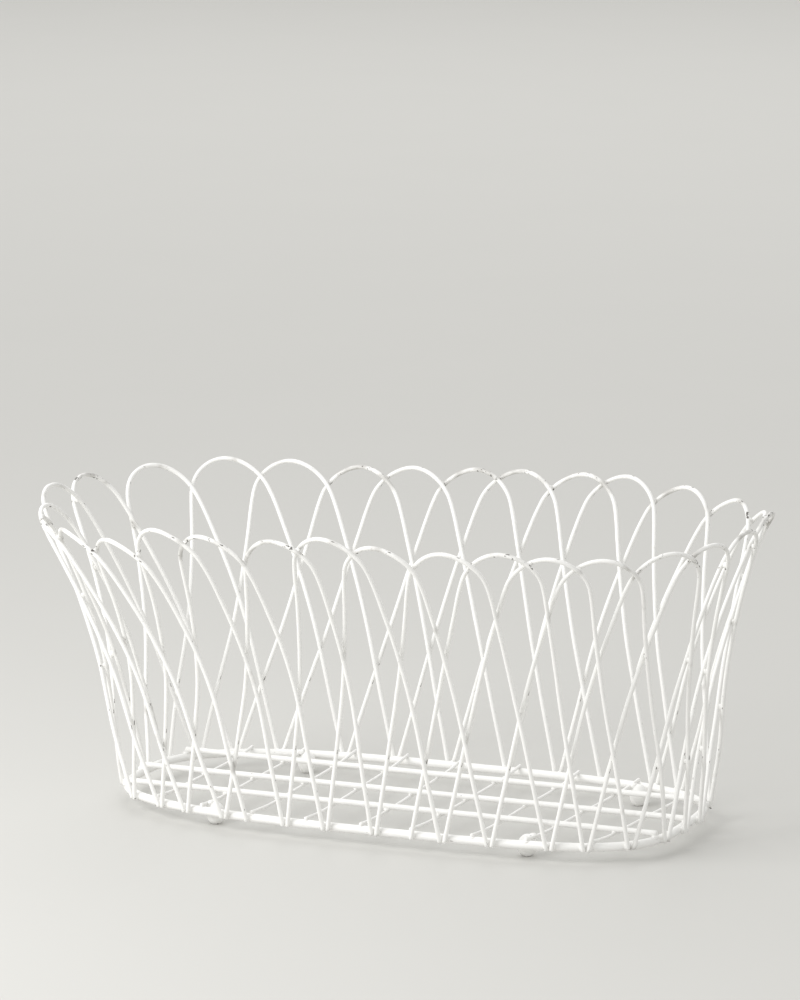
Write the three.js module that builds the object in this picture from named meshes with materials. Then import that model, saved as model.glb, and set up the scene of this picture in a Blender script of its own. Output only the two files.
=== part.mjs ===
// Oval wire basket. Overlapping wire hoops stand round a thick base ring and lean outwards to a
// scalloped rim. Long wires and thin cross wires make its floor, and it stands on four ball feet.
//
// Millimetres, +Z up. +X runs along the basket and -Y is its front. The origin is on the surface
// that it stands on, under the middle of its bounding box. Feet, hoops and steps are counted
// counter-clockwise as seen from above, from the left end of the front.

import * as THREE from 'three';

// ---- Driving dimensions ----------------------------------------------------------------------

const HOOP_WIRE = 2.6;
const RING_WIRE = 5.0;
const LONG_WIRE = 3.4;
const CROSS_WIRE = 1.9;
const BALL = { width: 11, height: 13.6 }; // drawn a little taller than it is wide
const CLEARANCE = 0.3; // between two wires that touch

// The ring's centreline, and the outline through the tops of the hoops. Both are superellipses.
// The ring's left end is a little longer and rounder than its right end.
const RING = {
  left: { reach: 176, squareness: 2.9 },
  right: { reach: 173.5, squareness: 3.7 },
  halfWidth: 84.3,
  height: 9.4,
};
const RIM = {
  left: { reach: 219, squareness: 3 },
  right: { reach: 219, squareness: 3 },
  halfWidth: 129,
  height: 185,
};
const RIM_SHIFT = -9; // the rim was bent a little towards -X

// The wall leans out steadily at first, and curls out more and more from FLARE_START upwards.
const STEADY_LEAN = 0.47; // share of the whole lean
const FLARE_START = 0.38; // share of the height
const FLARE_POWER = 1.8;

// One hoop: two legs that spread downwards from a round arch.
const ARCH_HEIGHT = 19.5;
const ARCH_HALF_WIDTH = 20; // along the rim
const FEET_SPANNED = 4; // a hoop stands on one pair of feet and on the fourth one further on
const FOOT_OFFSET = 1.5; // of each leg from the middle of its pair
const FOOT_DROP = 1.3; // of a leg's end below the ring's centreline
const LAYER_PITCH = 3.3; // between the inner layer of legs and the outer one
const LAYER_START = 6; // height above a leg's end at which the layers begin to part
const LAYER_RISE = 30; // height over which they part
const ARCH_TURN = 0.8; // share of the arch's half width over which it changes layer

// Bent and set by hand, so the steps along the ring, the steps along the rim and the heights of
// the tops are uneven. One pair of places carries no hoop.
const FIRST_FOOT = 0.5727; // share of the way round the ring
const FOOT_STEPS = [
  26, 20, 27, 17, 24, 26, 31, 22, 21, 29, 35, 21, 25, 26, 26, 26,
  35, 35, 19, 35, 30, 33, 38, 36, 33, 41, 27, 22, 22, 21, 40, 37,
];
const FIRST_TOP = 0.6307; // share of the way round the rim
const TOP_STEPS = [
  43, 30, 46, 16, 16, 31, 42, 34, 27, 31, 41, 32, 49, 48, 30, 36,
  44, 43, 28, 41, 30, 42, 35, 46, 41, 49, 60, 43, 25, 33, 37, 40,
];
const TOP_RISES = [
  -10, 1, 0, 1, 0, 5, 2, 1, 3, 1, 0, 2, 3, 2, 4, -1,
  0, 2, 4, 3, 2, 1, -1, -2, -1, 0, -2, 0, 1, -7, -8, -9,
];
const MISSING_HOOP = 4;

// The floor: long wires lie across the ring's ends, and cross wires run under them from side to
// side and rise at both ends to lie on the ring.
const LONG_WIRE_PLACES = [-43, -3, 43];
const CROSS_WIRE_PLACES = [
  { front: -135.5, back: -135.5 },
  { front: -102, back: -103.5 },
  { front: -67.5, back: -72 },
  { front: -32, back: -38 },
  { front: 3, back: -2.5 },
  { front: 34.5, back: 36 },
  { front: 72.5, back: 74.5 },
  { front: 105, back: 115 },
  { front: 142.5, back: 153.5 },
];
const CROSS_WIRE_FLAT = 0.64; // share of a cross wire's half length that lies flat
const WIRE_OVERHANG = 1.4; // of a floor wire's end past the ring's centreline

// Ball feet, each beside a cross wire and inside the ring. The side is 1 for the wire's right.
const FEET = [
  { name: 'front_left', crossWire: 1, end: -1, side: 1 },
  { name: 'back_left', crossWire: 1, end: 1, side: 1 },
  { name: 'front_right', crossWire: 7, end: -1, side: -1 },
  { name: 'back_right', crossWire: 7, end: 1, side: 1 },
];
const FOOT_FROM_WIRE = 4.8;
const FOOT_FROM_MIDDLE = 69; // across the basket
const FOOT_FLAT_RADIUS = 2.4;

// Steps along the paths, and sides of the wires.
const LEG_STEPS = 8;
const ARCH_STEPS = 12;
const HOOP_SIDES = 6;
const RING_STEPS = 96;
const RING_SIDES = 8;
const FLOOR_SIDES = 8;
const CROSS_STEPS = 8;
const BALL_STEPS = 7;
const BALL_SIDES = 14;
const OUTLINE_DIVISIONS = 1440;

// ---- Material --------------------------------------------------------------------------------

const PAINT = { color: 0xe8e6e0, roughness: 0.55, metalness: 0.0 };

function named(name, geometry) {
  const mesh = new THREE.Mesh(geometry, new THREE.MeshStandardMaterial(PAINT));
  mesh.name = name;
  return mesh;
}

// ---- Curves ----------------------------------------------------------------------------------

// A superellipse round the Z axis, counter-clockwise from +X.
class Oval extends THREE.Curve {
  constructor({ left, right, halfWidth, height }, shift = 0) {
    super();
    Object.assign(this, { left, right, halfWidth, height, shift });
    this.arcLengthDivisions = OUTLINE_DIVISIONS;
  }

  getPoint(t) {
    const angle = 2 * Math.PI * t;
    const x = Math.cos(angle);
    const y = Math.sin(angle);
    const { reach, squareness: n } = this.endOn(x);
    const radius = (Math.abs(x) ** n + Math.abs(y) ** n) ** (-1 / n);
    return new THREE.Vector3(reach * x * radius + this.shift, this.halfWidth * y * radius, this.height);
  }

  endOn(side) {
    return side < 0 ? this.left : this.right;
  }

  // Half of the oval's width at a place along it.
  halfWidthAt(x) {
    const { reach, squareness: n } = this.endOn(x);
    return this.halfWidth * (1 - Math.abs(x / reach) ** n) ** (1 / n);
  }

  // Where the oval's left end (-1) or right end (1) is at a place across it.
  endAt(side, y) {
    const { reach, squareness: n } = this.endOn(side);
    return side * reach * (1 - Math.abs(y / this.halfWidth) ** n) ** (1 / n);
  }
}

// A wire's centreline, given by a function of t from 0 to 1. Its steps are even in t, not in
// length, so that a path can bring them closer where it bends.
class WirePath extends THREE.Curve {
  constructor(pointAt) {
    super();
    this.pointAt = pointAt;
  }

  getPoint(t) {
    return this.pointAt(t);
  }

  getUtoTmapping(u) {
    return u;
  }
}

const ring = new Oval(RING);
const rim = new Oval(RIM, RIM_SHIFT);

function polygon(diameter, sides) {
  const corners = [];
  for (let i = 0; i < sides; i += 1) {
    const angle = (2 * Math.PI * i) / sides;
    corners.push(new THREE.Vector2(Math.cos(angle), Math.sin(angle)).multiplyScalar(diameter / 2));
  }
  return new THREE.Shape(corners);
}

function wire(diameter, sides, steps, pointAt) {
  const extrudePath = new WirePath(pointAt);
  return new THREE.ExtrudeGeometry(polygon(diameter, sides), { steps, extrudePath });
}

// ---- The wall that the hoops follow ----------------------------------------------------------

const FOOT_STANDOFF = RING_WIRE / 2 + HOOP_WIRE / 2 + CLEARANCE;

// Share of the way from the ring's outline to the rim's, at a height.
function lean(z) {
  const rise = (z - RING.height) / (RIM.height - RING.height);
  const curl = Math.max(0, (rise - FLARE_START) / (1 - FLARE_START));
  return STEADY_LEAN * rise + (1 - STEADY_LEAN) * curl ** FLARE_POWER;
}

// A point of the wall: place is the share of the way round, counted past 1 on a second turn.
function wallPoint(place, z) {
  const turn = place - Math.floor(place);
  const tangent = ring.getTangentAt(turn);
  const outwards = new THREE.Vector3(tangent.y, -tangent.x, 0);
  const foot = ring.getPointAt(turn).addScaledVector(outwards, FOOT_STANDOFF);
  return foot.lerp(rim.getPointAt(turn), lean(z)).setZ(z);
}

function wallNormal(place, z) {
  const along = wallPoint(place + 0.001, z).sub(wallPoint(place - 0.001, z));
  const up = wallPoint(place, z + 0.5).sub(wallPoint(place, z - 0.5));
  return along.cross(up).normalize();
}

// ---- Hoops -----------------------------------------------------------------------------------

// Shares of the way round at which a list of steps puts its places, from the first one on.
function placesFrom(first, steps) {
  const whole = steps.reduce((sum, step) => sum + step, 0);
  let travelled = 0;
  return steps.map((step) => {
    const place = first + travelled / whole;
    travelled += step;
    return place;
  });
}

const footPlaces = placesFrom(FIRST_FOOT, FOOT_STEPS);
const topPlaces = placesFrom(FIRST_TOP, TOP_STEPS);
const footOffset = FOOT_OFFSET / ring.getLength();
const archHalfWidth = ARCH_HALF_WIDTH / rim.getLength();
const footHeight = RING.height - FOOT_DROP;
const hoopSteps = 2 * LEG_STEPS + ARCH_STEPS;
const legShare = LEG_STEPS / hoopSteps;

// The place of a pair of feet, whose number may run past the last pair into a second turn.
function footPlace(index) {
  const count = footPlaces.length;
  return footPlaces[index % count] + Math.floor(index / count);
}

// Where a path is at t: its height, and its side, from 1 on the first leg to -1 on the second.
function alongHoop(t, topHeight) {
  const shoulder = topHeight - ARCH_HEIGHT;
  if (t < legShare) return { side: 1, z: THREE.MathUtils.lerp(footHeight, shoulder, t / legShare) };
  if (t > 1 - legShare) return { ...alongHoop(1 - t, topHeight), side: -1 };
  const angle = (Math.PI * (t - legShare)) / (1 - 2 * legShare);
  return { side: Math.cos(angle), z: shoulder + ARCH_HEIGHT * Math.sin(angle) };
}

// A hoop rises on the inner layer of the wall, crosses over at its top and comes down on the
// outer layer, outside the hoops that follow it.
function hoopPoint(t, index) {
  const firstFoot = footPlace(index) + footOffset;
  const lastFoot = footPlace(index + FEET_SPANNED) - footOffset;
  const top = topPlaces[index];
  const topHeight = RIM.height + TOP_RISES[index];
  const { side, z } = alongHoop(t, topHeight);

  const drop = (topHeight - z) / (topHeight - footHeight);
  const spread = side >= 0 ? top - archHalfWidth - firstFoot : top + archHalfWidth - lastFoot;
  const place = top - side * archHalfWidth - spread * drop;

  const turn = THREE.MathUtils.clamp(side / ARCH_TURN, -1, 1);
  const parted = THREE.MathUtils.smoothstep(z - footHeight - LAYER_START, 0, LAYER_RISE);
  const lift = (-LAYER_PITCH / 2) * Math.sin((turn * Math.PI) / 2) * parted;
  return wallPoint(place, z).addScaledVector(wallNormal(place, z), lift);
}

function makeHoops() {
  const hoops = [];
  for (let index = 0; index < footPlaces.length; index += 1) {
    if (index === MISSING_HOOP) continue;
    const number = String(hoops.length + 1).padStart(2, '0');
    const geometry = wire(HOOP_WIRE, HOOP_SIDES, hoopSteps, (t) => hoopPoint(t, index));
    hoops.push(named(`hoop_${number}`, geometry));
  }
  return hoops;
}

// ---- Base ------------------------------------------------------------------------------------

// The ring is a tube closed on itself, so it has no ends.
function makeRing() {
  const closed = true;
  return named(
    'base_ring',
    new THREE.TubeGeometry(ring, RING_STEPS, RING_WIRE / 2, RING_SIDES, closed),
  );
}

const longWireHeight = RING.height + RING_WIRE / 2 + LONG_WIRE / 2 + CLEARANCE;
const crossWireHeight = longWireHeight - LONG_WIRE / 2 - CROSS_WIRE / 2 - CLEARANCE;
const crossEndHeight = RING.height + RING_WIRE / 2 + CROSS_WIRE / 2 + CLEARANCE;

function makeLongWires() {
  return LONG_WIRE_PLACES.map((y, i) => {
    const left = ring.endAt(-1, y) - WIRE_OVERHANG;
    const right = ring.endAt(1, y) + WIRE_OVERHANG;
    const pointAt = (t) => new THREE.Vector3(THREE.MathUtils.lerp(left, right, t), y, longWireHeight);
    return named(`long_wire_${i + 1}`, wire(LONG_WIRE, FLOOR_SIDES, 1, pointAt));
  });
}

// The point of a cross wire that is a share of its half length from its middle, -1 at its front.
function crossWirePoint({ front, back }, share) {
  const x = THREE.MathUtils.lerp(front, back, (share + 1) / 2);
  const y = share * (ring.halfWidthAt(share < 0 ? front : back) + WIRE_OVERHANG);
  const climb = THREE.MathUtils.smoothstep(Math.abs(share), CROSS_WIRE_FLAT, 1);
  return new THREE.Vector3(x, y, THREE.MathUtils.lerp(crossWireHeight, crossEndHeight, climb));
}

function makeCrossWires() {
  return CROSS_WIRE_PLACES.map((place, i) => {
    const pointAt = (t) => crossWirePoint(place, 2 * t - 1);
    return named(`cross_wire_${i + 1}`, wire(CROSS_WIRE, FLOOR_SIDES, CROSS_STEPS, pointAt));
  });
}

// A ball with a small flat worn on its underside, turned round its own vertical axis.
function makeBallFoot(name, x, y) {
  const radius = BALL.width / 2;
  const halfHeight = BALL.height / 2;
  const flatAngle = Math.asin(FOOT_FLAT_RADIUS / radius);
  const centreHeight = halfHeight * Math.cos(flatAngle);
  const profile = [new THREE.Vector2(0, 0)];
  for (let i = 0; i < BALL_STEPS; i += 1) {
    const angle = THREE.MathUtils.lerp(flatAngle, Math.PI, i / BALL_STEPS);
    const height = centreHeight - halfHeight * Math.cos(angle);
    profile.push(new THREE.Vector2(radius * Math.sin(angle), height));
  }
  profile.push(new THREE.Vector2(0, centreHeight + halfHeight));
  const foot = named(name, new THREE.LatheGeometry(profile, BALL_SIDES));
  foot.rotation.x = Math.PI / 2;
  foot.position.set(x, y, 0);
  return foot;
}

function makeBallFeet() {
  return FEET.map(({ name, crossWire, end, side }) => {
    const place = CROSS_WIRE_PLACES[crossWire];
    const share = FOOT_FROM_MIDDLE / ring.halfWidthAt(place.front);
    const beside = crossWirePoint(place, end * share);
    const x = beside.x + side * FOOT_FROM_WIRE;
    return makeBallFoot(`ball_foot_${name}`, x, end * FOOT_FROM_MIDDLE);
  });
}

// ---- The basket ------------------------------------------------------------------------------

const basket = new THREE.Group();
basket.add(makeRing(), ...makeLongWires(), ...makeCrossWires(), ...makeBallFeet(), ...makeHoops());

// The ring was drawn round the origin, and the rim reaches further one way than the other: slide
// the basket until the origin is under the middle of its box.
const box = new THREE.Box3().setFromObject(basket, true);
const middle = box.getCenter(new THREE.Vector3());
basket.position.set(-middle.x, -middle.y, -box.min.z);

export default basket;
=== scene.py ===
"""Oval wire basket: painted steel wires, their welds and ball feet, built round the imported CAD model.

Metres, in the CAD model's own frame: +X along the basket, -Y its front, +Z up.
Every wire follows the middle line of its CAD node. Paint thickness, brush marks, welds and chips
are added here.
"""

import math
import random

import bmesh
import bpy
import numpy as np
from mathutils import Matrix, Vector, noise


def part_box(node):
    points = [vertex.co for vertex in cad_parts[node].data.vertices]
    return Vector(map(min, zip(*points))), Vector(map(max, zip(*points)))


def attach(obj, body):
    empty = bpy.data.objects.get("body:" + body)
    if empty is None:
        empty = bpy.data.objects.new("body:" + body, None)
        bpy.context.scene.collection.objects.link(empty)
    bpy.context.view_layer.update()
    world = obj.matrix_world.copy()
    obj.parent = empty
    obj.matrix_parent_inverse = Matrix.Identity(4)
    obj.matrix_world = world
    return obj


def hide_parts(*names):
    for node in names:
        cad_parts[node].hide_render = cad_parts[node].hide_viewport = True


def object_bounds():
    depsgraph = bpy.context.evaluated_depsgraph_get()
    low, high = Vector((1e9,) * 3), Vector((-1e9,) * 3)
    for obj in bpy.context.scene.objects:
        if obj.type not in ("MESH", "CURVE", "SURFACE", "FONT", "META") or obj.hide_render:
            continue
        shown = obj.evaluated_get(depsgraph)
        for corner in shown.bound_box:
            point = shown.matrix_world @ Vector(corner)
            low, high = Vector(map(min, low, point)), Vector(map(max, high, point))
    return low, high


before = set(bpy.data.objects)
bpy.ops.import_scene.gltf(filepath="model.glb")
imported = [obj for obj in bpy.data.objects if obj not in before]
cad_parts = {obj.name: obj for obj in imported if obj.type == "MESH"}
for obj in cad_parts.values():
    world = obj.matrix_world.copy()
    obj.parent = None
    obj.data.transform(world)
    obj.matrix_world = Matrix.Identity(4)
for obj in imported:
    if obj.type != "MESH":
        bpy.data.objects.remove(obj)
cad_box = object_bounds()

BODY = "root"
MM = 0.001
SEED = 7

# ---- Sizes -----------------------------------------------------------------------------------

HOOP_WIRE = 2.6 * MM
RING_WIRE = 5.0 * MM
LONG_WIRE = 3.4 * MM
CROSS_WIRE = 1.9 * MM
FOOT_FLAT_RADIUS = 2.4 * MM

# Hand-made unevenness.
BRUSHED_PAINT = 0.035  # share of a wire's radius by which brushed paint varies
BRUSH_LENGTH = 12 * MM
PAINT_LUMP = 0.10  # share of a wire's radius by which a run of paint stands up
LUMP_SPACING = 38 * MM
LUMP_LENGTH = 2.2 * MM
LUMP_LENGTHS = (0.6, 1.8)  # smallest and largest share of that length
LUMP_HEIGHTS = (0.3, 1.0)  # the same of the height
LUMP_TWIST = 9  # radians that the side of the lumps turns over one spacing
WAVINESS = 0.3 * MM  # sideways, of a hoop's legs
WAVE_LENGTH = 70 * MM
FLOOR_BOW = 0.25 * MM  # sideways, of a floor wire
BOW_LENGTH = 60 * MM

# Welds: uneven ellipsoids, given by their radii and by the smallest and largest share of those.
CROSSING_REACH = 3.8 * MM  # wires closer than this, from middle to middle, share a weld
CROSSING_SPACING = 6 * MM  # of two separate crossings of the same pair of hoops
CROSSING_WELD = (1.7 * MM, 0.95 * MM)  # along the wires, across them
CROSSING_COVER = 0.25 * MM  # past the middle of each wire
CROSSING_SIZES = (0.75, 1.25)
FOOT_ZONE = 6 * MM  # above the ring, where hoops meet at their feet and not at a crossing
FOOT_WELD = (1.7 * MM, 1.2 * MM, 2.3 * MM)  # along the ring, across the joint, up
FOOT_WELD_SIZES = (0.85, 1.2)
FLOOR_WELD = (1.5 * MM, 1.5 * MM, 1.0 * MM)
FLOOR_WELD_SIZES = (0.8, 1.25)
FLOOR_WELD_SHARE = 0.6  # of its place that is the cross wire's, the rest is the long wire's
WIRE_END_WELD = (1.7 * MM, 1.7 * MM, 1.3 * MM)
WIRE_END_SIZES = (0.85, 1.25)
WIRE_END_SIZE = {"long": 1.3, "cross": 0.9}  # how large the end's weld is on each kind of wire
BALL_WELD = (2.3 * MM, 2.9 * MM, 1.8 * MM)
BALL_WELD_SHARE = 0.65  # of the way from the ball's shoulder to the wire
BALL_SHOULDER = 1.5 * MM  # down from the ball's top
WELD_UNEVENNESS = 0.22
WELD_BUMPS = 1.3  # noise scale, per radius

# How worn the paint is, from 0 to 1.
TOP_WEAR = (0.25, 1.0)  # of a hoop's top, between these
WEAR = {
    "hoop_joint": 0.75,
    "hoop_foot": 0.6,
    "crossing_weld": 0.45,
    "ring_joint": 0.7,
    "foot_weld": 0.35,
    "floor_wire": 0.1,
    "floor_weld": 0.3,
    "ball_weld": 0.4,
}

# Mesh fineness.
HOOP_STEP = 1.4 * MM
RING_STEP = 1.6 * MM
FLOOR_STEP = 1.5 * MM
HOOP_SIDES = 12
RING_SIDES = 20
FLOOR_SIDES = 14
CAP_STEPS = 4
END_BULGE = 0.3  # of a wire's end past its cut, as a share of the wire's radius
END_FLAT = 0.4  # of a step, left flat in the middle of a wire's end
JOIN_STEPS = 10  # over which a closed wire's radius is led back to where it began
BLOB_SUBDIVISIONS = 3
BALL_RINGS = 28
BALL_SIDES = 40

ring_low, ring_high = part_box("base_ring")
ring_middle = (ring_low + ring_high) / 2


# ---- Middle lines of the CAD wires -----------------------------------------------------------

SAME_CORNER = 0.01 * MM  # corners closer than this are one
SECTION_REACH = 1.05  # from a corner to the rest of its section, at most, in diameters
WRAP = 6  # points that a closed line is carried on for at each end, so that its join is smooth


def section_centres(node, diameter):
    """Middle points of a CAD wire's sections: its corners, gathered section by section."""
    corners = np.array([v.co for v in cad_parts[node].data.vertices])
    corners = np.unique(np.round(corners / SAME_CORNER), axis=0) * SAME_CORNER
    centres = []
    while len(corners):
        near = np.linalg.norm(corners - corners[0], axis=1) < SECTION_REACH * diameter
        centres.append(corners[near].mean(axis=0))
        corners = corners[~near]
    return np.array(centres)


def chained(points, start):
    """The same points in order along the wire, each one the nearest to the last."""
    left = [tuple(p) for p in points]
    chain = [left.pop(start)]
    while left:
        gaps = np.linalg.norm(np.array(left) - chain[-1], axis=1)
        chain.append(left.pop(int(np.argmin(gaps))))
    return np.array(chain)


def smooth_line(points, step, closed=False):
    """A natural cubic spline through the points, read off at even steps."""
    points = np.asarray(points, float)
    if closed:
        points = np.vstack([points[-WRAP:], points, points[: WRAP + 1]])
    chord = np.linalg.norm(np.diff(points, axis=0), axis=1)
    at = np.concatenate([[0.0], np.cumsum(chord)])
    count = len(points)
    matrix = np.eye(count)
    known = np.zeros_like(points)
    for i in range(1, count - 1):
        before, after = chord[i - 1], chord[i]
        matrix[i, i - 1 : i + 2] = before, 2 * (before + after), after
        known[i] = 6 * ((points[i + 1] - points[i]) / after - (points[i] - points[i - 1]) / before)
    bend = np.linalg.solve(matrix, known)
    first, last = (at[WRAP], at[-1 - WRAP]) if closed else (at[0], at[-1])
    steps = max(2, round((last - first) / step))
    reads = np.linspace(first, last, steps + 1)
    if closed:
        reads = reads[:-1]
    span = np.clip(np.searchsorted(at, reads, side="right") - 1, 0, count - 2)
    width = chord[span][:, None]
    a = (at[span + 1] - reads)[:, None] / width
    b = 1 - a
    curve = a * points[span] + b * points[span + 1]
    curve += ((a**3 - a) * bend[span] + (b**3 - b) * bend[span + 1]) * width**2 / 6
    return curve


def open_line(node, diameter, step):
    """The middle line of a wire with two ends, read from one end to the other."""
    points = section_centres(node, diameter)
    spread = np.linalg.norm(points - points.mean(axis=0), axis=1)
    start = np.argmin(points[:, 2]) if node.startswith("hoop") else np.argmax(spread)
    return smooth_line(chained(points, int(start)), step)


def ring_line(node, diameter, step):
    """The middle line of a wire that is closed on itself, read once round."""
    points = section_centres(node, diameter)
    middle = points.mean(axis=0)
    turn = np.arctan2(points[:, 1] - middle[1], points[:, 0] - middle[0])
    return smooth_line(points[np.argsort(turn)], step, closed=True)


# ---- Unevenness ------------------------------------------------------------------------------

def soft_random(count, length, step, rng):
    """Smooth random numbers from about -1 to 1 along a wire, changing over a length."""
    knots = max(4, int(count * step / length) + 3)
    values = [rng.uniform(-1, 1) for _ in range(knots)]
    where = np.linspace(0, knots - 1.001, count)
    left = where.astype(int)
    share = where - left
    ease = share * share * (3 - 2 * share)
    values = np.array(values + values[-1:])
    return values[left] * (1 - ease) + values[left + 1] * ease


def lumps(count, step, rng):
    """Runs of paint: short rises along a wire, as shares of the highest."""
    along = np.arange(count) * step
    height = np.zeros(count)
    for _ in range(int(count * step / LUMP_SPACING)):
        middle = rng.uniform(0, count * step)
        length = LUMP_LENGTH * rng.uniform(*LUMP_LENGTHS)
        height += rng.uniform(*LUMP_HEIGHTS) * np.exp(-(((along - middle) / length) ** 2))
    return np.minimum(height, 1.0)


def steps_from_end(line):
    steps = np.arange(len(line))
    return np.minimum(steps, steps[::-1])


def tangents(line, closed=False):
    """The wire's direction at each point of its line."""
    if closed:
        ahead = np.roll(line, -1, axis=0) - np.roll(line, 1, axis=0)
    else:
        ahead = np.gradient(line, axis=0)
    return ahead / np.linalg.norm(ahead, axis=1)[:, None]


def waved(line, step, rng):
    """A hoop's line with its hand-bent waves, which fade out at both feet."""
    sideways = np.cross(tangents(line), outward(line))
    sideways /= np.linalg.norm(sideways, axis=1)[:, None]
    fade = np.minimum(1.0, steps_from_end(line) * step / WAVE_LENGTH)
    wave = soft_random(len(line), WAVE_LENGTH, step, rng) * fade * WAVINESS
    return line + sideways * wave[:, None]


def outward(points):
    """Level directions that point out of the basket."""
    half_size = (ring_high - ring_low) / 2
    scale = np.array([1 / half_size.x**2, 1 / half_size.y**2, 0.0])
    away = (points - np.array(ring_middle)) * scale
    return away / np.maximum(np.linalg.norm(away, axis=1)[:, None], 1e-9)


# ---- Meshes ----------------------------------------------------------------------------------

def add_object(name, verts, faces, along=None):
    """A smooth-shaded mesh object. along holds each corner's place along and round its wire."""
    mesh = bpy.data.meshes.new(name)
    mesh.from_pydata([tuple(v) for v in verts], [], faces)
    uv = mesh.uv_layers.new(name="along_wire")
    if along is not None:
        flat = np.array([along[f][k] for f in range(len(faces)) for k in range(len(faces[f]))])
        uv.data.foreach_set("uv", flat.ravel())
    mesh.polygons.foreach_set("use_smooth", [True] * len(faces))
    mesh.update()
    piece = bpy.data.objects.new(name, mesh)
    bpy.context.scene.collection.objects.link(piece)
    return piece


def carried_frames(directions):
    """Two directions across the wire at each point, carried along it without twisting."""
    first = Vector(directions[0])
    side = first.orthogonal().normalized()
    sides = []
    for direction in directions:
        heading = Vector(direction)
        side = (side - heading * side.dot(heading)).normalized()
        sides.append(side.copy())
    sides = np.array(sides)
    return sides, np.cross(directions, sides)


def untwisted(across, over):
    """The same directions round a closed wire, turned evenly so that the last ones meet the first."""
    swing = math.atan2(np.dot(across[-1], over[0]), np.dot(across[-1], across[0]))
    turn = np.linspace(0, -swing, len(across))[:, None]
    cosine, sine = np.cos(turn), np.sin(turn)
    return across * cosine + over * sine, over * cosine - across * sine


def joined_up(radius):
    """The radii round a closed wire, with the last few led back to the first."""
    blend = np.minimum(1.0, np.arange(len(radius))[::-1] / JOIN_STEPS)
    return radius * blend + radius[0] * (1 - blend)


def wire_mesh(name, line, diameter, sides, step, rng, closed=False):
    """A painted wire along a line: round, uneven in thickness, with rounded ends if it has any."""
    count = len(line)
    directions = tangents(line, closed)
    across, over = carried_frames(directions)
    radius = diameter / 2 * (1 + BRUSHED_PAINT * soft_random(count, BRUSH_LENGTH, step, rng))
    if closed:
        across, over = untwisted(across, over)
        radius = joined_up(radius)
    rises = lumps(count, step, rng) * PAINT_LUMP * diameter / 2
    lump_side = rng.uniform(0, 2 * math.pi)
    angles = np.linspace(0, 2 * math.pi, sides, endpoint=False)

    sections = []
    for i in range(count):
        from_lump = angles - lump_side - LUMP_TWIST * i * step / LUMP_SPACING
        swell = radius[i] + rises[i] * (0.5 + 0.5 * np.cos(from_lump))
        offsets = np.outer(np.cos(angles) * swell, across[i]) + np.outer(np.sin(angles) * swell, over[i])
        sections.append(line[i] + offsets)
    places = [i * step for i in range(count)]
    if not closed:
        sections, places = with_round_ends(sections, places, line, directions, diameter / 2)
    faces, along = tube_faces(places, sides, math.pi * diameter / sides, step, closed)
    return add_object(name, np.vstack(sections), faces, along)


def tube_faces(places, sides, side_width, step, closed):
    """Faces between the sections of a wire, and each corner's place along and round the wire."""
    total = len(places)
    faces = []
    along = []
    for i in range(total if closed else total - 1):
        after = (i + 1) % total
        here, there = i * sides, after * sides
        here_u = places[i]
        there_u = places[after] if after else places[i] + step
        for j in range(sides):
            beside = (j + 1) % sides
            faces.append((here + j, here + beside, there + beside, there + j))
            v, next_v = j * side_width, (j + 1) * side_width
            along.append(((here_u, v), (here_u, next_v), (there_u, next_v), (there_u, v)))
    if not closed:
        faces.append(tuple(range(sides - 1, -1, -1)))
        along.append(((places[0], 0.0),) * sides)
        faces.append(tuple((total - 1) * sides + j for j in range(sides)))
        along.append(((places[-1], 0.0),) * sides)
    return faces, along


def with_round_ends(sections, places, line, directions, radius):
    """The same sections with each end of the wire drawn in to a low dome."""
    start = []
    end = []
    for k in range(1, CAP_STEPS + 1):
        angle = k / (CAP_STEPS + END_FLAT) * math.pi / 2
        shrink = math.cos(angle)
        reach = math.sin(angle) * radius * END_BULGE
        start.insert(0, line[0] - directions[0] * reach + (sections[0] - line[0]) * shrink)
        end.append(line[-1] + directions[-1] * reach + (sections[-1] - line[-1]) * shrink)
    first_places = [places[0] - radius * (CAP_STEPS - k) / CAP_STEPS for k in range(CAP_STEPS)]
    last_places = [places[-1] + radius * (k + 1) / CAP_STEPS for k in range(CAP_STEPS)]
    return start + sections + end, first_places + places + last_places


def unit_ball(subdivisions):
    """Corners and faces of a ball of radius 1, as a fine icosphere."""
    ball = bmesh.new()
    bmesh.ops.create_icosphere(ball, subdivisions=subdivisions, radius=1.0)
    verts = np.array([v.co for v in ball.verts])
    faces = [tuple(v.index for v in f.verts) for f in ball.faces]
    ball.free()
    return verts, faces


BALL_VERTS, BALL_FACES = unit_ball(BLOB_SUBDIVISIONS)


LEVEL_AXES = np.eye(3)
NOISE_REACH = 50  # how far from its middle the noise is read, in its own units


def random_shift(rng):
    """A place in the noise to read from, so that no two lumps are alike."""
    return Vector([rng.uniform(-NOISE_REACH, NOISE_REACH) for _ in range(3)])


class Welds:
    """Lumps of weld metal and paint, gathered into one mesh."""

    def __init__(self, rng):
        self.rng = rng
        self.verts = []
        self.faces = []

    def add(self, centre, axes, radii, size=1.0):
        """One lump: an uneven ellipsoid with the given radii along three directions."""
        shift = random_shift(self.rng)
        bumps = np.array([noise.noise(Vector(v) * WELD_BUMPS + shift) for v in BALL_VERTS])
        local = BALL_VERTS * (1 + WELD_UNEVENNESS * bumps)[:, None] * (np.array(radii) * size)
        start = len(BALL_VERTS) * len(self.verts)
        self.verts.append(np.asarray(centre) + local @ np.asarray(axes))
        self.faces += [tuple(start + k for k in face) for face in BALL_FACES]

    def piece(self, name, wear):
        """Makes the mesh, evenly worn."""
        verts = np.vstack(self.verts)
        along = [tuple((verts[k][0] + verts[k][1], verts[k][2]) for k in face) for face in self.faces]
        made = add_object(name, verts, self.faces, along)
        set_wear(made, np.full(len(verts), wear))
        return made


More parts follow.
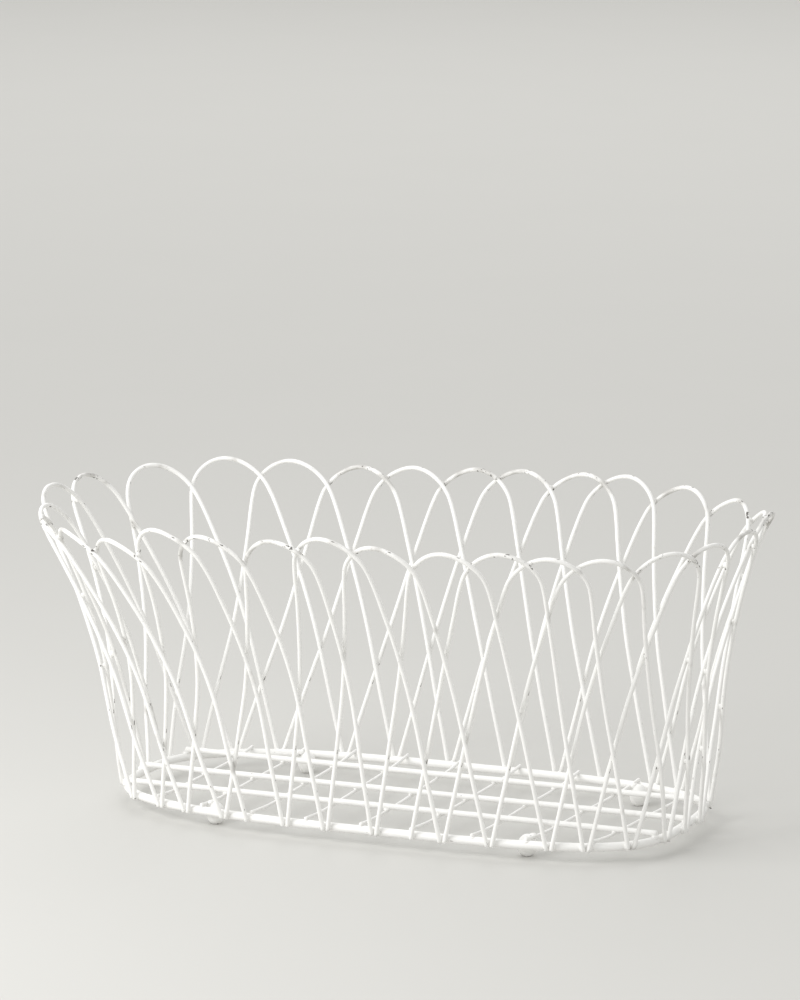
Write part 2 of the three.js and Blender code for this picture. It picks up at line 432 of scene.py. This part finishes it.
def set_wear(piece, amounts):
    """Stores how worn the paint is at each corner, from 0 to 1."""
    attribute = piece.data.attributes.new("wear", "FLOAT", "POINT")
    attribute.data.foreach_set("value", np.clip(amounts, 0.0, 1.0))


def mesh_points(piece):
    flat = np.empty(len(piece.data.vertices) * 3)
    piece.data.vertices.foreach_get("co", flat)
    return flat.reshape(-1, 3)


def nearness(points, targets, reach):
    """1 where a point is on one of the targets, falling to 0 at a reach from all of them."""
    gaps = np.linalg.norm(points[:, None, :] - targets[None, :, :], axis=2)
    return np.clip(1 - gaps.min(axis=1) / reach, 0, 1)


def nearest_point(line, point):
    return line[np.argmin(np.linalg.norm(line - point, axis=1))]


# ---- Paint -----------------------------------------------------------------------------------

PAINT_WHITE = (0.935, 0.930, 0.915)
PAINT_DULL = (0.875, 0.870, 0.850)
PAINT_THIN = (0.56, 0.55, 0.525)
BARE_STEEL = (0.14, 0.132, 0.122)

# Scales of the noise, per metre.
STREAK_SCALE = (140, 1700)  # along the wire, round it
SCRAPE_SCALE = (170, 520)
PATCH_SCALE = 55
GRAIN_SCALE = 900
FLECK_SCALE = 330

# Values of the noise between which paint turns thin or chips off, and what full wear adds to it.
THIN_RANGE, THIN_BY_WEAR = (0.86, 0.98), 0.26
FLECK_RANGE, FLECK_BY_WEAR = (0.75, 0.79), 0.15
SCRAPE_RANGE, SCRAPE_BY_WEAR = (0.705, 0.76), 0.06

# Values of the noise between which paint goes from dull to white and from smooth to rough.
TONE_RANGE = (0.3, 0.7)
STREAK_RANGE = (0.25, 0.75)

PAINT_ROUGHNESS = 0.42
STREAK_ROUGHNESS = 0.16
CHIP_ROUGHNESS = 0.18
BUMP_STRENGTH = 0.55
BUMP_HEIGHT = 0.12 * MM

SHADER_INPUTS = {
    "colour": "Base Color",
    "roughness": "Roughness",
    "specular": "Specular IOR Level",
    "normal": "Normal",
}


class NodeKit:
    """A new material and short ways to add nodes to it. A value is a socket, a number or a colour."""

    def __init__(self, name):
        self.material = bpy.data.materials.new(name)
        self.material.use_nodes = True
        self.nodes = self.material.node_tree.nodes
        self.links = self.material.node_tree.links
        self.nodes.clear()

    def add(self, kind, **settings):
        made = self.nodes.new(kind)
        for key, value in settings.items():
            setattr(made, key, value)
        return made

    def feed(self, socket, value):
        if isinstance(value, bpy.types.NodeSocket):
            self.links.new(value, socket)
        elif isinstance(value, tuple):
            socket.default_value = (*value, 1)
        else:
            socket.default_value = value

    def noise(self, vector, scale, detail, roughness=0.5):
        made = self.add("ShaderNodeTexNoise")
        made.inputs["Scale"].default_value = scale
        made.inputs["Detail"].default_value = detail
        made.inputs["Roughness"].default_value = roughness
        self.feed(made.inputs["Vector"], vector)
        return made.outputs["Fac"]

    def stretched_noise(self, vector, scales, detail):
        made = self.add("ShaderNodeMapping")
        made.inputs["Scale"].default_value = (*scales, 1)
        self.feed(made.inputs["Vector"], vector)
        return self.noise(made.outputs["Vector"], 1.0, detail)

    def ramp(self, value, low, high):
        made = self.add("ShaderNodeMapRange", interpolation_type="SMOOTHSTEP")
        made.inputs["From Min"].default_value = low
        made.inputs["From Max"].default_value = high
        self.feed(made.inputs["Value"], value)
        return made.outputs["Result"]

    def math(self, operation, a, b):
        made = self.add("ShaderNodeMath", operation=operation)
        self.feed(made.inputs[0], a)
        self.feed(made.inputs[1], b)
        return made.outputs[0]

    def weighted(self, value, *others):
        """A value with others added to it, each times its own weight."""
        for other, weight in others:
            value = self.math("ADD", value, self.math("MULTIPLY", other, weight))
        return value

    def mix(self, share, a, b):
        made = self.add("ShaderNodeMix", data_type="RGBA")
        self.feed(made.inputs["Factor"], share)
        self.feed(made.inputs["A"], a)
        self.feed(made.inputs["B"], b)
        return made.outputs["Result"]

    def bump(self, height, strength, distance):
        made = self.add("ShaderNodeBump")
        made.inputs["Strength"].default_value = strength
        made.inputs["Distance"].default_value = distance
        self.feed(made.inputs["Height"], height)
        return made.outputs["Normal"]

    def surface(self, **inputs):
        """Ends the material with a shader whose inputs have these values."""
        shader = self.add("ShaderNodeBsdfPrincipled")
        for key, value in inputs.items():
            self.feed(shader.inputs[SHADER_INPUTS[key]], value)
        output = self.add("ShaderNodeOutputMaterial")
        self.links.new(shader.outputs["BSDF"], output.inputs["Surface"])
        return self.material


def paint_material(name, thin_share, chip_share, streak_scale=1.0):
    """Brushed white paint on steel wire: streaks along the wire, thin patches, flecks and scrapes."""
    kit = NodeKit(name)
    place = kit.add("ShaderNodeTexCoord").outputs["Object"]
    along = kit.add("ShaderNodeUVMap", uv_map="along_wire").outputs["UV"]
    wear = kit.add("ShaderNodeAttribute", attribute_name="wear").outputs["Fac"]

    streaks = kit.stretched_noise(along, [scale * streak_scale for scale in STREAK_SCALE], detail=3)
    scrapes = kit.stretched_noise(along, SCRAPE_SCALE, detail=4)
    patches = kit.noise(place, PATCH_SCALE, detail=3)
    grain = kit.noise(place, GRAIN_SCALE, detail=4, roughness=0.6)
    flecks = kit.noise(place, FLECK_SCALE, detail=5, roughness=0.62)

    thin_value = kit.weighted(patches, (streaks, 0.25), (wear, THIN_BY_WEAR))
    thin = kit.ramp(thin_value, THIN_RANGE[0] - thin_share, THIN_RANGE[1])
    fleck_value = kit.weighted(flecks, (wear, FLECK_BY_WEAR))
    fleck = kit.ramp(fleck_value, *(edge - chip_share for edge in FLECK_RANGE))
    scrape_value = kit.weighted(scrapes, (wear, SCRAPE_BY_WEAR))
    scrape = kit.ramp(scrape_value, *(edge - chip_share for edge in SCRAPE_RANGE))
    chip = kit.math("MAXIMUM", fleck, scrape)

    tone = kit.ramp(kit.weighted(kit.math("MULTIPLY", streaks, 0.6), (grain, 0.4)), *TONE_RANGE)
    painted = kit.mix(thin, kit.mix(tone, PAINT_DULL, PAINT_WHITE), PAINT_THIN)
    streak_rough = kit.math("MULTIPLY", kit.ramp(streaks, *STREAK_RANGE), STREAK_ROUGHNESS)
    paint_rough = kit.math("ADD", streak_rough, PAINT_ROUGHNESS)
    height = kit.weighted(kit.math("MULTIPLY", streaks, 0.7), (grain, 0.3), (chip, -0.8))
    return kit.surface(
        colour=kit.mix(chip, painted, BARE_STEEL),
        roughness=kit.weighted(paint_rough, (chip, CHIP_ROUGHNESS)),
        specular=0.5,
        normal=kit.bump(height, BUMP_STRENGTH, BUMP_HEIGHT),
    )


hoop_paint = paint_material("hoop_paint", thin_share=0.10, chip_share=0.02)
ring_paint = paint_material("ring_paint", thin_share=0.05, chip_share=0.0, streak_scale=0.7)
floor_paint = paint_material("floor_paint", thin_share=0.07, chip_share=0.0)
foot_paint = paint_material("foot_paint", thin_share=0.05, chip_share=0.005, streak_scale=0.6)


def finished(piece, material, slot, *nodes):
    """Gives a piece its paint, puts it on the basket's one body and hides the CAD nodes that it stands
    for.
    """
    piece.data.materials.append(material)
    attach(piece, BODY)
    if nodes:
        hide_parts(*nodes)


def node_names(start):
    return sorted(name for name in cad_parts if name.startswith(start))


rng = random.Random(SEED)

# ---- Hoops -----------------------------------------------------------------------------------

WORN_TOP = 24 * MM  # down from a hoop's top
WORN_FOOT = (8 * MM, 14 * MM)  # heights of full wear and of none
WORN_CROSSING = 6 * MM  # from a weld's middle
TOUCHING = 0.2 * MM  # gap under which two wires' middles give no direction


def crossings(lines):
    """Places where two hoops pass over each other: each one's name and the index of its point."""
    found = []
    names = sorted(lines)
    for i, first in enumerate(names):
        a = lines[first]
        for second in names[i + 1 :]:
            b = lines[second]
            apart = np.maximum(a.min(axis=0) - b.max(axis=0), b.min(axis=0) - a.max(axis=0))
            if np.any(apart > CROSSING_REACH):
                continue
            gaps = np.linalg.norm(a[:, None, :] - b[None, :, :], axis=2)
            while gaps.min() < CROSSING_REACH:
                k, m = np.unravel_index(np.argmin(gaps), gaps.shape)
                found.append((first, k, second, m))
                near = np.linalg.norm(a - a[k], axis=1) < CROSSING_SPACING
                gaps[near, :] = np.inf
    return found


def crossing_welds(lines):
    """Welds where hoops cross above their feet, and the middle points of those welds."""
    welds = Welds(random.Random(SEED + 1))
    middles = []
    for first, k, second, m in crossings(lines):
        a, b = lines[first], lines[second]
        if a[k][2] < ring_high.z + FOOT_ZONE:
            continue
        middle = (a[k] + b[m]) / 2
        across = b[m] - a[k]
        gap = np.linalg.norm(across)
        across = across / gap if gap > TOUCHING else outward(middle[None, :])[0]
        one_way, other_way = tangents(a)[k], tangents(b)[m]
        heading = one_way + other_way * np.sign(np.dot(one_way, other_way))
        heading -= across * np.dot(heading, across)
        heading /= np.linalg.norm(heading)
        size = welds.rng.uniform(*CROSSING_SIZES)
        length, width = (radius * size for radius in CROSSING_WELD)
        welds.add(
            middle,
            (heading, np.cross(across, heading), across),
            (length, width, gap / 2 + CROSSING_COVER),
        )
        middles.append(middle)
    return welds, np.array(middles)


def hoop_wear(points, weld_middles, top_wear):
    """Paint worn at a hoop's top, where it crosses another and at its feet."""
    height = points[:, 2]
    high = np.clip((height - height.max() + WORN_TOP) / WORN_TOP, 0, 1)
    low = np.clip((WORN_FOOT[1] - height) / (WORN_FOOT[1] - WORN_FOOT[0]), 0, 1)
    joint = nearness(points, weld_middles, WORN_CROSSING)
    return high * top_wear + joint * WEAR["hoop_joint"] + low * WEAR["hoop_foot"]


def build_hoops():
    """Makes the hoops and their welds, and gives back the hoops' middle lines."""
    lines = {}
    for name in node_names("hoop_"):
        lines[name] = waved(open_line(name, HOOP_WIRE, HOOP_STEP), HOOP_STEP, rng)
    welds, weld_middles = crossing_welds(lines)
    for name, line in lines.items():
        hoop = wire_mesh(f"{name}_painted", line, HOOP_WIRE, HOOP_SIDES, HOOP_STEP, rng)
        set_wear(hoop, hoop_wear(mesh_points(hoop), weld_middles, rng.uniform(*TOP_WEAR)))
        finished(hoop, hoop_paint, "hoop_paint", name)
    finished(welds.piece("crossing_welds", WEAR["crossing_weld"]), hoop_paint, "hoop_paint")
    return lines


hoop_lines = build_hoops()

# ---- Ring and the welds of the hoops' feet ---------------------------------------------------

FOOT_JOINT = RING_WIRE / 2 + 0.1 * MM  # of a foot's weld from the ring's middle line
HEADING_STEPS = 3  # of a leg's line over which its direction at the ring is taken
WORN_RING = 7 * MM  # from a weld's middle


def foot_weld(welds, leg_line, ring_points):
    """The weld of one leg, given from its foot upwards, to the ring. Returns its middle point."""
    this_leg = leg_line[: len(leg_line) // 3]
    level = int(np.argmin(np.abs(this_leg[:, 2] - ring_middle.z)))
    leg = leg_line[level]
    nearest = nearest_point(ring_points, leg)
    across = leg - nearest
    across /= np.linalg.norm(across)
    heading = leg_line[level + HEADING_STEPS] - leg
    heading -= across * np.dot(heading, across)
    heading /= np.linalg.norm(heading)
    joint = nearest + across * FOOT_JOINT
    axes = (np.cross(heading, across), across, heading)
    welds.add(joint, axes, FOOT_WELD, size=welds.rng.uniform(*FOOT_WELD_SIZES))
    return joint


def build_ring():
    """Makes the ring and the welds of the hoops' feet, and gives back the ring's middle line."""
    points = ring_line("base_ring", RING_WIRE, RING_STEP)
    ring = wire_mesh("base_ring_painted", points, RING_WIRE, RING_SIDES, RING_STEP, rng, closed=True)
    welds = Welds(random.Random(SEED + 2))
    joints = []
    for name in sorted(hoop_lines):
        line = hoop_lines[name]
        joints += [foot_weld(welds, line, points), foot_weld(welds, line[::-1], points)]
    finished(welds.piece("foot_welds", WEAR["foot_weld"]), ring_paint, "ring_paint")
    set_wear(ring, WEAR["ring_joint"] * nearness(mesh_points(ring), np.array(joints), WORN_RING))
    finished(ring, ring_paint, "ring_paint", "base_ring")
    return points


ring_points = build_ring()

# ---- Floor wires -----------------------------------------------------------------------------

BOW_FADE = 12  # steps from an end over which a floor wire's bow grows
FLOOR_WIRES = {"long": LONG_WIRE, "cross": CROSS_WIRE}


def floor_wire_line(kind, name):
    """The middle line of a floor wire. The long ones are straight, so their boxes give it."""
    if kind == "cross":
        return open_line(name, CROSS_WIRE, FLOOR_STEP)
    low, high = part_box(name)
    middle = (low + high) / 2
    along = np.linspace(low.x, high.x, int((high.x - low.x) / FLOOR_STEP))
    return np.stack([along, np.full_like(along, middle.y), np.full_like(along, middle.z)], axis=1)


def bowed(line):
    """A floor wire's line, bent a little to its sides between its ends."""
    fade = np.minimum(1, steps_from_end(line) / BOW_FADE)
    bow = soft_random(len(line), BOW_LENGTH, FLOOR_STEP, rng) * FLOOR_BOW * fade
    return line + np.cross(tangents(line), LEVEL_AXES[2]) * bow[:, None]


def build_floor_wires():
    """Makes the floor's wires, and gives back their middle lines by kind and name."""
    lines = {kind: {} for kind in FLOOR_WIRES}
    for kind, diameter in FLOOR_WIRES.items():
        for name in node_names(f"{kind}_wire_"):
            line = bowed(floor_wire_line(kind, name))
            lines[kind][name] = line
            wire = wire_mesh(f"{name}_painted", line, diameter, FLOOR_SIDES, FLOOR_STEP, rng)
            set_wear(wire, np.full(len(wire.data.vertices), WEAR["floor_wire"]))
            finished(wire, floor_paint, "floor_paint", name)
    return lines


def build_floor_welds(lines):
    """Makes the welds where floor wires cross and where they end on the ring."""
    welds = Welds(random.Random(SEED + 3))
    for cross_line in lines["cross"].values():
        for long_line in lines["long"].values():
            gaps = np.linalg.norm(cross_line[:, None, :] - long_line[None, :, :], axis=2)
            k, m = np.unravel_index(np.argmin(gaps), gaps.shape)
            middle = cross_line[k] * FLOOR_WELD_SHARE + long_line[m] * (1 - FLOOR_WELD_SHARE)
            welds.add(middle, LEVEL_AXES, FLOOR_WELD, size=welds.rng.uniform(*FLOOR_WELD_SIZES))
    for kind, kind_lines in lines.items():
        for line in kind_lines.values():
            for end in (line[0], line[-1]):
                middle = (nearest_point(ring_points, end) + end) / 2
                size = welds.rng.uniform(*WIRE_END_SIZES) * WIRE_END_SIZE[kind]
                welds.add(middle, LEVEL_AXES, WIRE_END_WELD, size)
    finished(welds.piece("floor_welds", WEAR["floor_weld"]), floor_paint, "floor_paint")


floor_lines = build_floor_wires()
build_floor_welds(floor_lines)

# ---- Ball feet -------------------------------------------------------------------------------

BALL_UNEVENNESS = 0.012
BALL_BUMPS = 1.6  # noise scale, per radius
WORN_BALL = 3 * MM  # up from the floor


def ball_mesh(name, low, high):
    """An egg-shaped ball that fills a box and has a flat under it."""
    radius = (high.y - low.y) / 2
    flat_angle = math.asin(FOOT_FLAT_RADIUS / radius)
    half_height = (high.z - low.z) / (1 + math.cos(flat_angle))
    middle = Vector(((low.x + high.x) / 2, (low.y + high.y) / 2, high.z - half_height))
    shift = random_shift(rng)
    verts = []
    for i in range(BALL_RINGS + 1):
        angle = flat_angle + (math.pi - flat_angle) * i / BALL_RINGS
        for j in range(BALL_SIDES):
            turn = 2 * math.pi * j / BALL_SIDES
            width = math.sin(angle)
            direction = Vector((width * math.cos(turn), width * math.sin(turn), -math.cos(angle)))
            uneven = 1 + BALL_UNEVENNESS * noise.noise(direction * BALL_BUMPS + shift) if i else 1.0
            reach = Vector((direction.x * radius, direction.y * radius, direction.z * half_height))
            verts.append(middle + reach * uneven)
    faces = []
    for i in range(BALL_RINGS):
        here, there = i * BALL_SIDES, (i + 1) * BALL_SIDES
        for j in range(BALL_SIDES):
            beside = (j + 1) % BALL_SIDES
            faces.append((here + j, here + beside, there + beside, there + j))
    faces.append(tuple(range(BALL_SIDES - 1, -1, -1)))
    along = [tuple((verts[k].x + verts[k].y, verts[k].z) for k in face) for face in faces]
    return add_object(name, verts, faces, along)


def build_ball_foot(name):
    """Makes a ball foot and the weld that joins it to the nearest cross wire."""
    low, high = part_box(name)
    ball = ball_mesh(f"{name}_painted", low, high)
    height = mesh_points(ball)[:, 2]
    set_wear(ball, np.clip((WORN_BALL - height) / WORN_BALL, 0, 1))
    finished(ball, foot_paint, "foot_paint", name)

    centre = (low + high) / 2
    wire_line = min(floor_lines["cross"].values(), key=lambda line: abs(line[:, 0].mean() - centre.x))
    beside_wire = wire_line[np.argmin(np.abs(wire_line[:, 1] - centre.y))]
    shoulder = np.array((centre.x, centre.y, high.z - BALL_SHOULDER))
    joint = shoulder * (1 - BALL_WELD_SHARE) + beside_wire * BALL_WELD_SHARE
    weld = Welds(rng)
    weld.add(joint, LEVEL_AXES, BALL_WELD)
    finished(weld.piece(f"{name}_weld", WEAR["ball_weld"]), foot_paint, "foot_paint")


for ball_name in node_names("ball_foot_"):
    build_ball_foot(ball_name)

# ---- Studio floor, light and camera ----------------------------------------------------------

STAGE_SIZE = 40.0
STAGE_COLOUR = (0.605, 0.600, 0.577)
STAGE_MOTTLE = 0.985  # share of the colour that is left where the floor is darkest
STAGE_MOTTLE_SCALE = 6.0
AIR_COLOUR = (1.0, 0.998, 0.985)
AIR_STRENGTH = 0.79

CAMERA_AZIMUTH = math.radians(22.64)
CAMERA_ELEVATION = math.radians(10.73)
CAMERA_DISTANCE = 3.198
CAMERA_LENS = 241.7  # mm, on a sensor 36 mm wide
AIM = Vector((-13.05, 15.9, 186.4)) * MM  # from the floor under the ring's middle


def build_stage():
    kit = NodeKit("studio_floor")
    place = kit.add("ShaderNodeTexCoord").outputs["Object"]
    mottle = kit.noise(place, STAGE_MOTTLE_SCALE, detail=2)
    darkest = tuple(STAGE_MOTTLE * channel for channel in STAGE_COLOUR)
    colour = kit.mix(mottle, STAGE_COLOUR, darkest)
    half = STAGE_SIZE / 2
    corners = [(-half, -half, 0), (half, -half, 0), (half, half, 0), (-half, half, 0)]
    mesh = bpy.data.meshes.new("studio_floor")
    mesh.from_pydata(corners, [], [(0, 1, 2, 3)])
    mesh.materials.append(kit.surface(colour=colour, roughness=0.8, specular=0.2))
    floor_piece = bpy.data.objects.new("studio_floor", mesh)
    bpy.context.scene.collection.objects.link(floor_piece)


def direction_from(azimuth, elevation):
    """A direction from the basket. Azimuth 0 is in front of it, a right angle is on its right."""
    level = math.cos(elevation)
    return Vector((math.sin(azimuth) * level, -math.cos(azimuth) * level, math.sin(elevation)))


def softbox(name, azimuth, elevation, distance, size, power):
    """A square soft light that faces the basket, placed by angles in degrees."""
    towards = direction_from(math.radians(azimuth), math.radians(elevation))
    light = bpy.data.lights.new(name, "AREA")
    light.shape = "SQUARE"
    light.size = size
    light.energy = power
    lamp = bpy.data.objects.new(name, light)
    lamp.location = (cad_box[0] + cad_box[1]) / 2 + towards * distance
    lamp.rotation_euler = towards.to_track_quat("Z", "Y").to_euler()
    bpy.context.scene.collection.objects.link(lamp)


def build_air():
    """Even light from all round."""
    world = bpy.data.worlds.new("studio_air")
    world.use_nodes = True
    background = world.node_tree.nodes["Background"]
    background.inputs["Color"].default_value = (*AIR_COLOUR, 1)
    background.inputs["Strength"].default_value = AIR_STRENGTH
    bpy.context.scene.world = world


def build_camera():
    data = bpy.data.cameras.new("camera")
    data.sensor_fit = "HORIZONTAL"
    data.sensor_width = 36.0
    data.lens = CAMERA_LENS
    data.clip_end = 100.0
    camera = bpy.data.objects.new("camera", data)
    aim = Vector((ring_middle.x, ring_middle.y, 0)) + AIM
    camera.location = aim + direction_from(CAMERA_AZIMUTH, CAMERA_ELEVATION) * CAMERA_DISTANCE
    camera.rotation_euler = (math.pi / 2 - CAMERA_ELEVATION, 0, CAMERA_AZIMUTH)
    bpy.context.scene.collection.objects.link(camera)
    bpy.context.scene.camera = camera


build_stage()
softbox("key_light", azimuth=-38, elevation=30, distance=1.5, size=1.0, power=15)
softbox("back_light", azimuth=202, elevation=40, distance=5.5, size=3.0, power=58)
build_air()
build_camera()
bpy.context.scene.view_settings.view_transform = "Standard"
